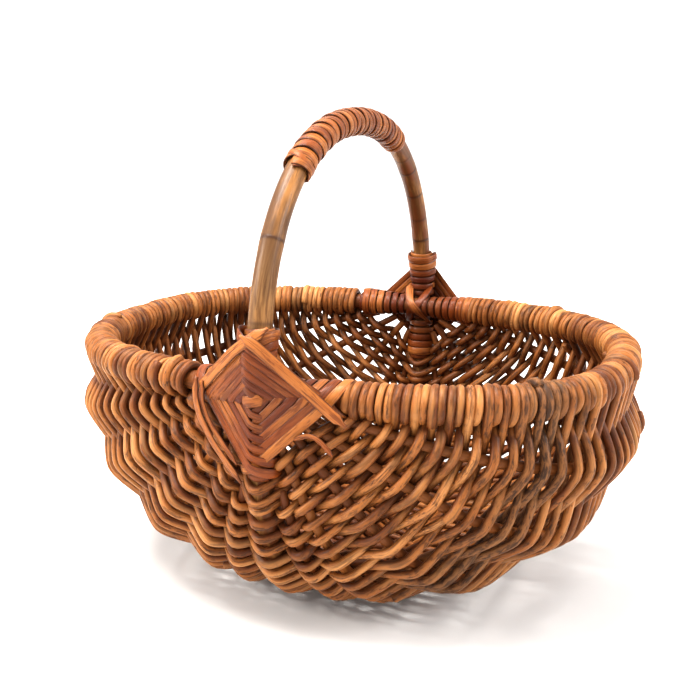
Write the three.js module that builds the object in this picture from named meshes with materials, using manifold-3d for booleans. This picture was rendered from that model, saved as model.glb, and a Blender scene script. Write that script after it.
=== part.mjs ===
// Egg collection basket: a frame basket of two crossed hoops, ribs and a woven wall.
//
// The rim hoop lies level. The handle hoop stands across it and runs on under the
// basket as the keel. Where the two hoops cross, a square lashing (a "god's eye")
// ties them and holds the ends of the ribs. Weavers run from one side of the rim,
// under the belly, to the other side, and wrap the rim at each end.
//
// Frame: millimetres, +Z up, X along the basket, Y across it (along the handle).
// The origin is the middle of the base, on the surface that the basket stands on.

import * as THREE from "three";
import { mergeVertices } from "three/addons/utils/BufferGeometryUtils.js";
import Module from "manifold-3d";

// ---- Driving sizes ----------------------------------------------------------

const CLEARANCE = 0.3; // between pieces that touch
const BAND_GAP = 0.9; // between woven bands and bindings, whose ends lean a little

const RIM_HALF_LENGTH = 178; // centre line of the rim hoop, along X
const RIM_HALF_WIDTH = 127.6; // and along Y
const RIM_SQUARENESS = 2.53; // exponent of the outline: 2 is an ellipse
const RIM_ROD_RADIUS = 6;
const RIM_WRAP = 4.6; // thickness of the weavers round the rim

const HANDLE_ROD_RADIUS = 7;
const HANDLE_HEIGHT = 148; // rim centre line to the top of the handle's centre line
const HANDLE_SQUARENESS = 2.24;
const KEEL_DEPTH = 141; // rim centre line to the keel's centre line
const KEEL_SQUARENESS = 3.6;

const BELLY_BULGE = 10; // how far the ribs reach past the rim along X
const BELLY_DROP = 4.5; // how much deeper the ribs reach than the keel
const BELLY_SQUARENESS = 2.47; // outline of the belly seen from the side
const RIB_ROD_RADIUS = 3.4;
const RIB_ANGLES = [14, 35, 59, 76, 83.5]; // degrees down from the rim, one side
const LOWER_RIB_STARTS = [31, 31, 38, 66]; // along ribs 2 to 5, lashing centre to rib end

const WEAVER_THICKNESS = 5; // one woven rod
const WALL_AT_GAPS = 4.5; // half the wall's thickness midway between two ribs
const CREST_WEAR = 0.7; // how far the lowest crests of the weave are worn flat
const BAND_COUNT = 7; // woven bands from one lashing to the other

const LASHING_REACH = 38; // centre of a lashing to where its edges would meet
const LASHING_CORNER = 33; // centre to where its corners are cut off square
const BINDING_GAP = 2; // corner to the binding, whose turns lean with the hoop
const LASHING_STRIP = 1.6; // thickness of the lashing's split peel
const BINDING_LENGTH = 11; // peel turns round each arm, just past the corners
const GRIP_START = 0.31; // share of the handle arch, near lashing to far lashing
const GRIP_END = 0.65;
const GRIP_PEEL = 2.2;

// ---- How finely each kind of piece is faceted -------------------------------

const HOOP_SIDES = 8;
const HOOP_STEPS = 24; // along half a hoop
const RIB_SIDES = 5;
const RIB_STEPS = 16;
const BAND_STEPS = 2; // along one band
const LASHING_STEPS = 6; // along each edge of a lashing

// ---- Values that follow from the sizes --------------------------------------

const HANDLE_HALF_WIDTH = RIM_HALF_WIDTH + RIM_ROD_RADIUS + HANDLE_ROD_RADIUS + CLEARANCE;
const WALL_AT_RIB = RIB_ROD_RADIUS + WEAVER_THICKNESS;
const WALL_AT_KEEL = HANDLE_ROD_RADIUS + WEAVER_THICKNESS;
const SLEEVE_RADIUS = RIM_ROD_RADIUS + RIM_WRAP;
const BELLY_HALF_LENGTH = RIM_HALF_LENGTH + BELLY_BULGE;
const BELLY_DEPTH = KEEL_DEPTH + BELLY_DROP;
const BINDING_START = LASHING_CORNER + BINDING_GAP;
const BINDING_END = BINDING_START + BINDING_LENGTH;
const TOP_RIB_START = BINDING_END + RIB_ROD_RADIUS / 2; // clear of the rim binding
const RIB_STARTS = [TOP_RIB_START, ...LOWER_RIB_STARTS];
const WEAVE_START = BINDING_END + BAND_GAP; // along every guide

const wasm = await Module();
wasm.setup();

// ---- Curves -----------------------------------------------------------------

const signedPower = (value, power) => Math.sign(value) * Math.abs(value) ** power;

// A superellipse arc from the near crossing (-Y) to the far crossing (+Y), bulging
// towards (reachX, reachZ). Equal steps of its parameter are equal lengths.
class GuideCurve extends THREE.Curve {
  constructor(reachX, reachZ, halfWidth, squareness) {
    super();
    this.reachX = reachX;
    this.reachZ = reachZ;
    this.halfWidth = halfWidth;
    this.squareness = squareness;
    this.table = [0];
    const fine = 720;
    let last = this.pointAtAngle(0);
    for (let i = 1; i <= fine; i++) {
      const next = this.pointAtAngle((Math.PI * i) / fine);
      this.table.push(this.table[i - 1] + next.distanceTo(last));
      last = next;
    }
    this.length = this.table[fine];
  }

  pointAtAngle(angle) {
    const power = 2 / this.squareness;
    const bulge = signedPower(Math.sin(angle), power);
    const across = -this.halfWidth * signedPower(Math.cos(angle), power);
    return new THREE.Vector3(this.reachX * bulge, across, this.reachZ * bulge);
  }

  getPoint(share, target = new THREE.Vector3()) {
    const wanted = THREE.MathUtils.clamp(share, 0, 1) * this.length;
    const fine = this.table.length - 1;
    let low = 0;
    let high = fine;
    while (high - low > 1) {
      const middle = (low + high) >> 1;
      if (this.table[middle] <= wanted) low = middle;
      else high = middle;
    }
    const part = (wanted - this.table[low]) / (this.table[high] - this.table[low]);
    const angle = (Math.PI * (low + part)) / fine;
    return target.copy(this.pointAtAngle(angle));
  }

  getUtoTmapping(share) {
    return share;
  }
}

// Part of a guide between two lengths measured from its near end.
class Stretch extends THREE.Curve {
  constructor(guide, from, to) {
    super();
    this.guide = guide;
    this.from = from / guide.length;
    this.to = to / guide.length;
  }

  getPoint(share, target = new THREE.Vector3()) {
    return this.guide.getPoint(this.from + (this.to - this.from) * share, target);
  }

  getUtoTmapping(share) {
    return share;
  }
}

// One closed hoop: out along the first guide and back along the second. Its ends
// butt together at the far crossing, inside the lashing.
class HoopCurve extends THREE.Curve {
  constructor(first, second) {
    super();
    this.first = first;
    this.second = second;
    this.inset = CLEARANCE / 2 / (first.length + second.length);
  }

  getPoint(share, target = new THREE.Vector3()) {
    const place = THREE.MathUtils.lerp(this.inset, 1 - this.inset, share);
    if (place < 0.5) return this.first.getPoint(1 - 2 * place, target);
    return this.second.getPoint(2 * place - 1, target);
  }

  getUtoTmapping(share) {
    return share;
  }
}

const onSection = (degrees) => {
  const angle = THREE.MathUtils.degToRad(degrees);
  const power = 2 / BELLY_SQUARENESS;
  return {
    x: BELLY_HALF_LENGTH * signedPower(Math.cos(angle), power),
    z: -BELLY_DEPTH * signedPower(Math.sin(angle), power),
    low: Math.sin(angle) ** 2,
  };
};

function ribGuide(degrees, side) {
  const { x, z, low } = onSection(degrees);
  const width = THREE.MathUtils.lerp(RIM_HALF_WIDTH, HANDLE_HALF_WIDTH, low);
  const squareness = THREE.MathUtils.lerp(RIM_SQUARENESS, KEEL_SQUARENESS, low);
  return new GuideCurve(side * x, z, width, squareness);
}

const rimGuide = (side) =>
  new GuideCurve(side * RIM_HALF_LENGTH, 0, RIM_HALF_WIDTH, RIM_SQUARENESS);
const keelGuide = new GuideCurve(0, -KEEL_DEPTH, HANDLE_HALF_WIDTH, KEEL_SQUARENESS);
const archGuide = new GuideCurve(0, HANDLE_HEIGHT, HANDLE_HALF_WIDTH, HANDLE_SQUARENESS);

const lowestRib = -onSection(RIB_ANGLES.at(-1)).z;
const lowestCrest = Math.min(KEEL_DEPTH + WALL_AT_KEEL, lowestRib + WALL_AT_RIB);
const RIM_HEIGHT = lowestCrest - CREST_WEAR; // base to the rim's centre line

// Every guide that the wall is woven over, from the left rim to the right rim.
const guides = [
  { curve: rimGuide(-1), wall: WALL_AT_GAPS },
  ...RIB_ANGLES.map((a) => ({ curve: ribGuide(a, -1), wall: WALL_AT_RIB })),
  { curve: keelGuide, wall: WALL_AT_KEEL },
  ...RIB_ANGLES.toReversed().map((a) => ({ curve: ribGuide(a, 1), wall: WALL_AT_RIB })),
  { curve: rimGuide(1), wall: WALL_AT_GAPS },
];

// ---- Solids -----------------------------------------------------------------

// A round rod as a prism along its path, with the round rod's own section area.
function rod(path, radius, sides, steps) {
  const turn = (2 * Math.PI) / sides;
  const corner = radius * Math.sqrt(turn / Math.sin(turn));
  const section = new THREE.Shape();
  for (let i = 0; i < sides; i++) {
    const angle = turn * (i + 0.5);
    const place = [corner * Math.cos(angle), corner * Math.sin(angle)];
    if (i === 0) section.moveTo(...place);
    else section.lineTo(...place);
  }
  section.closePath();
  return new THREE.ExtrudeGeometry(section, {
    extrudePath: path,
    steps,
    bevelEnabled: false,
  });
}

function toSolid(geometry) {
  const bare = geometry.clone();
  bare.deleteAttribute("normal");
  bare.deleteAttribute("uv");
  const merged = mergeVertices(bare, 1e-4);
  return new wasm.Manifold(
    new wasm.Mesh({
      numProp: 3,
      vertProperties: merged.getAttribute("position").array,
      triVerts: new Uint32Array(merged.index.array),
    }),
  );
}

function toGeometry(solid) {
  const mesh = solid.getMesh();
  const geometry = new THREE.BufferGeometry();
  geometry.setAttribute("position", new THREE.BufferAttribute(mesh.vertProperties, 3));
  geometry.setIndex(new THREE.BufferAttribute(mesh.triVerts, 1));
  geometry.computeVertexNormals();
  return geometry;
}

const join = (solids) => solids.reduce((whole, next) => whole.add(next));
const cut = (solid, cutters) => cutters.reduce((left, next) => left.subtract(next), solid);

// A closed block of material on a grid: outer[i][j] and inner[i][j] are the two
// skins, and the four edges join them. The outer skin's squares are split along one
// diagonal and the inner skin's along the other.
function blockFromGrid(outer, inner) {
  const rows = outer.length;
  const columns = outer[0].length;
  const places = [...outer.flat(), ...inner.flat()].flatMap((p) => [p.x, p.y, p.z]);
  const faces = [];
  const at = (skin, i, j) => skin * rows * columns + i * columns + j;
  const quad = (a, b, c, d) => faces.push(a, b, c, a, c, d);
  for (let i = 0; i + 1 < rows; i++) {
    for (let j = 0; j + 1 < columns; j++) {
      quad(at(0, i, j), at(0, i + 1, j), at(0, i + 1, j + 1), at(0, i, j + 1));
      quad(at(1, i + 1, j), at(1, i, j), at(1, i, j + 1), at(1, i + 1, j + 1));
    }
  }
  const lastRow = rows - 1;
  const lastColumn = columns - 1;
  for (let j = 0; j < lastColumn; j++) {
    quad(at(0, 0, j), at(0, 0, j + 1), at(1, 0, j + 1), at(1, 0, j));
    quad(at(1, lastRow, j), at(1, lastRow, j + 1), at(0, lastRow, j + 1), at(0, lastRow, j));
  }
  for (let i = 0; i < lastRow; i++) {
    quad(at(1, i, 0), at(1, i + 1, 0), at(0, i + 1, 0), at(0, i, 0));
    quad(at(0, i, lastColumn), at(0, i + 1, lastColumn), at(1, i + 1, lastColumn), at(1, i, lastColumn));
  }
  const geometry = new THREE.BufferGeometry();
  geometry.setAttribute("position", new THREE.Float32BufferAttribute(places, 3));
  geometry.setIndex(faces);
  return toSolid(geometry);
}

// Length along a guide for a place between the two lashings, 0 near and 1 far.
const alongGuide = (curve, place) =>
  WEAVE_START + place * (curve.length - 2 * WEAVE_START);

const atPlace = (curve, place) => curve.getPoint(alongGuide(curve, place) / curve.length);

// One cross-section of the wall: the guides and the points midway between them,
// each with the outward direction and half the wall's thickness there.
function wallSection(place) {
  const step = 0.01;
  const nodes = guides.map(({ curve, wall }) => ({
    point: atPlace(curve, place),
    along: atPlace(curve, place + step).sub(atPlace(curve, place - step)),
    wall,
  }));
  const section = [];
  nodes.forEach((node, k) => {
    section.push(node);
    const next = nodes[k + 1];
    if (!next) return;
    section.push({
      point: node.point.clone().lerp(next.point, 0.5),
      along: node.along.clone().add(next.along),
      wall: WALL_AT_GAPS,
    });
  });
  section.forEach((node, k) => {
    const before = section[Math.max(k - 1, 0)].point;
    const after = section[Math.min(k + 1, section.length - 1)].point;
    const across = after.clone().sub(before);
    node.outward = across.cross(node.along).normalize().negate();
  });
  return section;
}

function wallBlock(from, to) {
  const outer = [];
  const inner = [];
  for (let i = 0; i <= BAND_STEPS; i++) {
    const section = wallSection(THREE.MathUtils.lerp(from, to, i / BAND_STEPS));
    const skin = (side) =>
      section.map((n) => n.point.clone().addScaledVector(n.outward, side * n.wall));
    outer.push(skin(1));
    inner.push(skin(-1));
  }
  return blockFromGrid(outer, inner);
}

// The two hoops, and what is kept free for them inside the wall, the turns and the
// lashings.
const rimLoop = new HoopCurve(rimGuide(-1), rimGuide(1));
const handleLoop = new HoopCurve(keelGuide, archGuide);
const hoop = (path, radius) => rod(path, radius, HOOP_SIDES, 2 * HOOP_STEPS);
const hoopRooms = {
  rim: toSolid(hoop(rimLoop, RIM_ROD_RADIUS + CLEARANCE)),
  handle: toSolid(hoop(handleLoop, HANDLE_ROD_RADIUS + CLEARANCE)),
};

const ribPath = (curve, start) => new Stretch(curve, start, curve.length - start);

const ribs = [-1, 1].flatMap((side) =>
  RIB_ANGLES.map((degrees, i) => ({
    name: `${side < 0 ? "left" : "right"}_rib_${i + 1}`,
    path: ribPath(ribGuide(degrees, side), RIB_STARTS[i]),
    roomPath: ribPath(ribGuide(degrees, side), RIB_STARTS[i] - CLEARANCE),
  })),
);
const ribRooms = ribs.map((rib) =>
  toSolid(rod(rib.roomPath, RIB_ROD_RADIUS + CLEARANCE, RIB_SIDES, RIB_STEPS)),
);
const allRooms = [hoopRooms.rim, hoopRooms.handle, ...ribRooms];

const belowBase = toSolid(
  new THREE.BoxGeometry(1000, 1000, 100).translate(0, 0, -RIM_HEIGHT - 50),
);

// A woven band: its share of the wall, and its wraps round both sides of the rim.
function wovenBand(index) {
  const gap = BAND_GAP / 2 / (keelGuide.length - 2 * WEAVE_START);
  const from = index / BAND_COUNT + gap;
  const to = (index + 1) / BAND_COUNT - gap;
  const sleeves = [-1, 1].map((side) => {
    const curve = rimGuide(side);
    const path = new Stretch(curve, alongGuide(curve, from), alongGuide(curve, to));
    return toSolid(rod(path, SLEEVE_RADIUS, HOOP_SIDES, BAND_STEPS));
  });
  const whole = join([wallBlock(from, to), ...sleeves]);
  return cut(whole, [...allRooms, belowBase]);
}

// A peel-wrapped stretch of a hoop.
function wrapSleeve(guide, from, to, rodRadius, peel, room) {
  const steps = Math.max(2, Math.round(((to - from) / guide.length) * HOOP_STEPS));
  const path = new Stretch(guide, from, to);
  return cut(toSolid(rod(path, rodRadius + peel, HOOP_SIDES, steps)), [room]);
}

// The square lashing over the near crossing. Flat strips run straight from each
// upright arm to each level arm, so both faces are shallow hipped diamonds, high on
// one pair of arms and low on the other.
function nearLashing() {
  const upright = HANDLE_ROD_RADIUS + LASHING_STRIP;
  const level = RIM_ROD_RADIUS + LASHING_STRIP;
  const face = [];
  const back = [];
  for (let i = 0; i <= LASHING_STEPS; i++) {
    face.push([]);
    back.push([]);
    for (let j = 0; j <= LASHING_STEPS; j++) {
      const x = ((i + j) / LASHING_STEPS - 1) * LASHING_REACH;
      const z = ((i - j) / LASHING_STEPS) * LASHING_REACH;
      const out = THREE.MathUtils.lerp(
        HANDLE_HALF_WIDTH + upright,
        RIM_HALF_WIDTH + level,
        Math.abs(x) / LASHING_REACH,
      );
      const inside = THREE.MathUtils.lerp(
        RIM_HALF_WIDTH - level,
        HANDLE_HALF_WIDTH - upright,
        Math.abs(z) / LASHING_REACH,
      );
      face[i].push(new THREE.Vector3(x, -out, z));
      back[i].push(new THREE.Vector3(x, -inside, z));
    }
  }
  const square = new THREE.BoxGeometry(2 * LASHING_CORNER, 1000, 2 * LASHING_CORNER);
  const block = blockFromGrid(back, face).intersect(toSolid(square));
  return cut(block, allRooms);
}

// ---- The basket -------------------------------------------------------------

const materials = {
  rod: new THREE.MeshStandardMaterial({ color: 0xb87a45, roughness: 0.55, metalness: 0 }),
  weave: new THREE.MeshStandardMaterial({ color: 0xa8672f, roughness: 0.6, metalness: 0 }),
  handle: new THREE.MeshStandardMaterial({ color: 0xa08052, roughness: 0.45, metalness: 0 }),
  peel: new THREE.MeshStandardMaterial({ color: 0xb35a28, roughness: 0.4, metalness: 0 }),
};

const basket = new THREE.Group();
basket.position.z = RIM_HEIGHT;

function addPiece(name, geometry, material) {
  const piece = new THREE.Mesh(geometry, material);
  piece.name = name;
  basket.add(piece);
  return piece;
}

const addSolid = (name, solid, material) => addPiece(name, toGeometry(solid), material);

addPiece("rim_hoop", hoop(rimLoop, RIM_ROD_RADIUS), materials.rod);
addPiece("handle_hoop", hoop(handleLoop, HANDLE_ROD_RADIUS), materials.handle);
for (const rib of ribs) {
  addPiece(rib.name, rod(rib.path, RIB_ROD_RADIUS, RIB_SIDES, RIB_STEPS), materials.rod);
}

for (let i = 0; i < BAND_COUNT; i++) {
  addSolid(`woven_band_${i + 1}`, wovenBand(i), materials.weave);
}

// Each lashing, with the peel turns on its four arms. The basket is the same from
// either side, so the far ones are the near ones turned half round.
const rimArm = { radius: RIM_ROD_RADIUS, room: hoopRooms.rim };
const handleArm = { radius: HANDLE_ROD_RADIUS, room: hoopRooms.handle };
const arms = [
  { name: "left_rim_binding", guide: rimGuide(-1), ...rimArm },
  { name: "right_rim_binding", guide: rimGuide(1), ...rimArm },
  { name: "keel_binding", guide: keelGuide, ...handleArm },
  { name: "handle_collar", guide: archGuide, ...handleArm },
];
const lashed = arms.map(({ name, guide, radius, room }) => {
  return { name, solid: wrapSleeve(guide, BINDING_START, BINDING_END, radius, LASHING_STRIP, room) };
});
lashed.push({ name: "lashing", solid: nearLashing() });
for (const { name, solid } of lashed) {
  addSolid(`near_${name}`, solid, materials.peel);
  addSolid(`far_${name}`, solid, materials.peel).rotation.z = Math.PI;
}

const grip = wrapSleeve(
  archGuide,
  GRIP_START * archGuide.length,
  GRIP_END * archGuide.length,
  HANDLE_ROD_RADIUS,
  GRIP_PEEL,
  hoopRooms.handle,
);
addSolid("handle_grip", grip, materials.peel);

export default basket;
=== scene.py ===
"""Egg collection basket: the woven rods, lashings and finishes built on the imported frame."""

import math

import bpy
import numpy as np
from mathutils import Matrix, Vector


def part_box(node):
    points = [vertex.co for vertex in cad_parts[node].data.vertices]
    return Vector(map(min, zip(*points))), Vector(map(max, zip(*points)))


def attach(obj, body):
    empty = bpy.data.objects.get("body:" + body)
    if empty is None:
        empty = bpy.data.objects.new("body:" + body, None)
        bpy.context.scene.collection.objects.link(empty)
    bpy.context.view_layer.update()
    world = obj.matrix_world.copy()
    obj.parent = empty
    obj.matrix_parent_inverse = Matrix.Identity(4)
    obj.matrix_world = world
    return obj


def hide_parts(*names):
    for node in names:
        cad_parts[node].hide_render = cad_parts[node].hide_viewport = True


bl_info = {
    "name": "Frame basket",
    "version": (1, 0, 0),
    "blender": (4, 5, 0),
    "location": "3D View > Sidebar > Basket",
    "description": "Weaves a frame basket over its hoops and ribs",
    "category": "Object",
}

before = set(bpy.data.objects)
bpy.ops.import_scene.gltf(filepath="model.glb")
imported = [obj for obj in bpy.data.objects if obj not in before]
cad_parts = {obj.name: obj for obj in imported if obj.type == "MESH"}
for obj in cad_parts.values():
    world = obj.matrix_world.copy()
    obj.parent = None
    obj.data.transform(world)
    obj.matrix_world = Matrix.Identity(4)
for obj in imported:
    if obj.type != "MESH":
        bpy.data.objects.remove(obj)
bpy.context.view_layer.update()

BODY = "root"
MM = 0.001
BANDS = sorted(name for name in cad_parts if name.startswith("woven_band_"))
RIBS_A_SIDE = sum(name.startswith("left_rib_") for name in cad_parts)

# The rods of the frame: their radii, and how square each bent rod is.
RIM_ROD = 6 * MM
HANDLE_ROD = 7 * MM
RIB_ROD = 3.4 * MM
RIM_SQUARENESS = 2.53
KEEL_SQUARENESS = 3.6
HANDLE_SQUARENESS = 2.24

# Distances along the guides from a crossing: where each rib starts, and the first row, which
# follows the lashing's slanting edges.
RIB_STARTS = [start * MM for start in (38, 26, 26, 30, 60)]
RIM_WEAVE_START = 47 * MM
RIB_WEAVE_STARTS = [start * MM for start in (43, 35, 32, 36, 42)]
KEEL_WEAVE_START = 45 * MM


# ---- Places taken from the frame ----------------------------------------------


def unit(vectors):
    """The vectors at length 1."""
    return vectors / np.linalg.norm(vectors, axis=-1, keepdims=True)


def lengths(path):
    """The distance from the start of a path to each of its points."""
    return np.concatenate([[0], np.cumsum(np.linalg.norm(np.diff(path, axis=0), axis=1))])


def extent(node, axis, rod):
    """How far the centre line of a bent rod goes along an axis, each way."""
    low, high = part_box(node)
    return low[axis] + rod, high[axis] - rod


RIM_Z = sum(extent("rim_hoop", 2, RIM_ROD)) / 2
RIM_HALF_LENGTH = extent("rim_hoop", 0, RIM_ROD)[1]
RIM_HALF_WIDTH = extent("rim_hoop", 1, RIM_ROD)[1]
HANDLE_HALF_WIDTH = extent("handle_hoop", 1, HANDLE_ROD)[1]
KEEL_Z, HANDLE_TOP_Z = extent("handle_hoop", 2, HANDLE_ROD)


GUIDE_POINTS = 2881


class Guide:
    """The centre line of a bent rod from the near crossing to the far one, by length."""

    def __init__(self, reach_x, reach_z, half_width, squareness):
        angle = np.linspace(0, math.pi, GUIDE_POINTS)
        power = 2 / squareness
        bulge = np.abs(np.sin(angle)) ** power
        across = -half_width * np.sign(np.cos(angle)) * np.abs(np.cos(angle)) ** power
        self.points = np.stack([reach_x * bulge, across, RIM_Z + reach_z * bulge], -1)
        self.run = lengths(self.points)
        self.length = self.run[-1]

    def at(self, length):
        """Points at these lengths from the near crossing."""
        return np.stack([np.interp(length, self.run, c) for c in self.points.T], -1)

    def direction(self, length):
        """Unit directions of travel at these lengths."""
        step = 1.5 * MM
        return unit(self.at(np.add(length, step)) - self.at(np.subtract(length, step)))


def rib_guide(name):
    """The guide of one rib, from the box of its CAD node."""
    low, high = extent(name, 0, RIB_ROD)
    side = high if "right" in name else low
    drop = extent(name, 2, RIB_ROD)[0] - RIM_Z
    depth = math.sin(math.atan2(-drop, abs(side))) ** 2
    width = RIM_HALF_WIDTH + (HANDLE_HALF_WIDTH - RIM_HALF_WIDTH) * depth
    squareness = RIM_SQUARENESS + (KEEL_SQUARENESS - RIM_SQUARENESS) * depth
    return Guide(side, drop, width, squareness)


RIMS = [Guide(side * RIM_HALF_LENGTH, 0, RIM_HALF_WIDTH, RIM_SQUARENESS) for side in (-1, 1)]
KEEL = Guide(0, KEEL_Z - RIM_Z, HANDLE_HALF_WIDTH, KEEL_SQUARENESS)
ARCH = Guide(0, HANDLE_TOP_Z - RIM_Z, HANDLE_HALF_WIDTH, HANDLE_SQUARENESS)
RIBS = {
    side: [rib_guide(f"{side}_rib_{i + 1}") for i in range(RIBS_A_SIDE)]
    for side in ("left", "right")
}
# Every rod that a row passes, from the left rim under the belly to the right rim.
GUIDES = [RIMS[0], *RIBS["left"], KEEL, *RIBS["right"][::-1], RIMS[1]]
GUIDE_RODS = [RIM_ROD, *[RIB_ROD] * RIBS_A_SIDE, HANDLE_ROD, *[RIB_ROD] * RIBS_A_SIDE, RIM_ROD]
GUIDE_STARTS = [0, *RIB_STARTS, 0, *RIB_STARTS[::-1], 0]
ROW_STARTS = [
    RIM_WEAVE_START, *RIB_WEAVE_STARTS, KEEL_WEAVE_START, *RIB_WEAVE_STARTS[::-1], RIM_WEAVE_START
]
# The ways out of the bowl start here.
BOWL_MIDDLE = np.array([0, 0, RIM_Z - 30 * MM])


# ---- Meshes ---------------------------------------------------------------------

# The domed ends of a strand: how far they stand out, as a share of its radius or its crown, and
# how big they are beside it.
DOME_HEIGHT = 0.3
DOME_SIZE = 0.75
# Each strand of a piece takes its grain this many metres farther along the pattern.
GRAIN_SHIFT = 0.37


class Piece:
    """Collects swept strips and rods, then makes one mesh object of them. Two vectors are kept
    for each vertex: its grain, which is the distances along, across and out of the strand in
    metres, and its tone, which each finish reads in its own way."""

    def __init__(self):
        self.places, self.grain, self.tone, self.quads, self.fans = [], [], [], [], []
        self.count = 0

    def sweep(self, path, across, out, section, scale, tone):
        """Sweeps a closed section along a path. The section is (across, out) pairs, scale
        holds the size of both at each point, and both ends close with a low dome."""
        run = lengths(path)
        travel = unit(path[[0, -1]] - path[[1, -2]])
        dome = DOME_HEIGHT * scale[[0, -1], 1] * np.abs(section[:, 1]).max()
        tips = path[[0, -1]] + travel * dome[:, None]
        path = np.concatenate([tips[:1], path, tips[1:]])
        run = np.concatenate([[run[0] - dome[0]], run, [run[-1] + dome[1]]])
        tone = tone.reshape(len(run) - 2, -1, 3)
        across, out, tone = (np.concatenate([v[:1], v, v[-1:]]) for v in (across, out, tone))
        scale = np.concatenate([scale[:1] * DOME_SIZE, scale, scale[-1:] * DOME_SIZE])
        rows, sides = len(path), len(section)
        flat = section[None] * scale[:, None]
        places = path[:, None] + across[:, None] * flat[..., :1] + out[:, None] * flat[..., 1:]
        along = run[:, None, None] + GRAIN_SHIFT * len(self.places)
        grain = np.concatenate([np.broadcast_to(along, (rows, sides, 1)), flat], -1)
        i, j = np.meshgrid(np.arange(rows - 1), np.arange(sides), indexing="ij")
        here, there = i * sides + j, i * sides + (j + 1) % sides
        quads = np.stack([here, there, there + sides, here + sides], -1).reshape(-1, 4)
        self.quads.append(quads + self.count)
        self.fans.append(np.arange(sides)[::-1] + self.count)
        self.fans.append(np.arange(sides) + self.count + (rows - 1) * sides)
        self.places.append(places.reshape(-1, 3))
        self.grain.append(grain.reshape(-1, 3))
        self.tone.append(np.broadcast_to(tone, (rows, sides, 3)).reshape(-1, 3))
        self.count += rows * sides

    def make(self, name, finish, slot, *nodes):
        """The finished object, riding on the basket and standing for its CAD nodes."""
        quads = np.concatenate(self.quads)
        loops = np.concatenate([quads.ravel(), *self.fans])
        sizes = np.concatenate([np.full(len(quads), 4), [len(fan) for fan in self.fans]])
        mesh = bpy.data.meshes.new(name)
        mesh.vertices.add(self.count)
        mesh.vertices.foreach_set("co", np.concatenate(self.places).ravel())
        mesh.loops.add(len(loops))
        mesh.loops.foreach_set("vertex_index", loops)
        mesh.polygons.add(len(sizes))
        mesh.polygons.foreach_set("loop_start", np.concatenate([[0], np.cumsum(sizes)[:-1]]))
        mesh.polygons.foreach_set("use_smooth", np.ones(len(sizes), bool))
        for attribute, values in (("grain", self.grain), ("tone", self.tone)):
            made = mesh.attributes.new(attribute, "FLOAT_VECTOR", "POINT")
            made.data.foreach_set("vector", np.concatenate(values).astype(np.float32).ravel())
        mesh.update(calc_edges=True)
        mesh.materials.append(finish)
        piece = bpy.data.objects.new(name, mesh)
        bpy.context.scene.collection.objects.link(piece)
        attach(piece, BODY)
        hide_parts(*nodes)
        return piece


def round_section(sides):
    """A circle of radius 1 as (across, out) pairs."""
    angle = np.arange(sides) * 2 * math.pi / sides
    return np.stack([np.cos(angle), np.sin(angle)], -1)


# A flat split strip, 1 wide each way: crowned on top to a height of 1, nearly flat below.
STRIP_SECTION = np.array([
    (-1, 0), (-0.9, -0.45), (0, -0.5), (0.9, -0.45), (1, 0),
    (0.9, 0.5), (0.5, 0.85), (0, 1), (-0.5, 0.85), (-0.9, 0.5),
])
# How much of a strip's thickness stands above its path.
STRIP_CROWN = 0.7
# Painted light and shade on the rods: how much lighter a rod's front and back are, and how
# much darker its flanks.
FRONT_PAINTED_LIGHT = 0.16
FLANK_PAINTED_SHADE = 0.60


def even(path, step):
    """The path with its points a step apart."""
    run = lengths(path)
    wanted = np.linspace(0, run[-1], max(3, round(run[-1] / step) + 1))
    return np.stack([np.interp(wanted, run, column) for column in np.transpose(path)], -1)


def eased(path, passes):
    """The path with its corners rounded, and its ends where they were."""
    for _ in range(passes):
        middle = 0.25 * path[:-2] + 0.5 * path[1:-1] + 0.25 * path[2:]
        path = np.concatenate([path[:1], middle, path[-1:]])
    return path


def carried_frames(path):
    """Two directions square to the path that turn with it and don't twist."""
    travel = unit(np.gradient(path, axis=0))
    out = np.empty_like(path)
    carried = np.cross(travel[0], (0.31, 0.17, 0.93))
    for i, along in enumerate(travel):
        carried = carried - along * carried.dot(along)
        carried = carried / math.sqrt(carried.dot(carried))
        out[i] = carried
    return np.cross(travel, out), out


def add_rod(piece, path, radius, tone, sides=8, outside=None):
    """A round rod along a path, with its radius and tone at each point. Given the way to the
    outside, the rod gets painted light on its front and back and painted shade on its flanks,
    where its neighbours touch it, and it is rubbed on the outside only."""
    across, out = carried_frames(path)
    radius = np.broadcast_to(radius, len(path))
    tone = np.broadcast_to(np.asarray(tone, float), (len(path), 3))
    section = round_section(sides)
    if outside is not None:
        facing = np.stack([np.sum(across * outside, 1), np.sum(out * outside, 1)], -1) @ section.T
        tone = np.repeat(tone[:, None], sides, axis=1)
        # Painted light on the rod's front and back, and painted shade on its flanks.
        tone[..., 0] += FRONT_PAINTED_LIGHT * np.abs(facing) - FLANK_PAINTED_SHADE * (1 - np.abs(facing)) ** 2
        tone[..., 2] *= np.clip(0.3 + facing, 0, 1)
    piece.sweep(path, across, out, section, np.stack([radius, radius], -1), tone)


def add_strip(piece, path, out, width, thickness, tone):
    """A flat strip along a path, with its face towards out. Its tone is its shade and how red
    it is, and half its width in millimetres goes with them, for the painted shade at its edges."""
    travel = unit(np.gradient(path, axis=0))
    out = unit(out - travel * np.sum(out * travel, axis=1, keepdims=True))
    width = np.broadcast_to(width, len(path))
    tone = np.column_stack([np.broadcast_to(tone, (len(path), 2)), width / 2 / MM])
    scale = np.stack([width / 2, np.full(len(path), thickness * STRIP_CROWN)], -1)
    piece.sweep(path, np.cross(travel, out), out, STRIP_SECTION, scale, tone)


# ---- Sizes and colours that can be changed ---------------------------------------


def length(name, description, default):
    """A length property in metres."""
    return bpy.props.FloatProperty(
        name=name, description=description, default=default, min=0, subtype="DISTANCE", unit="LENGTH"
    )


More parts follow.
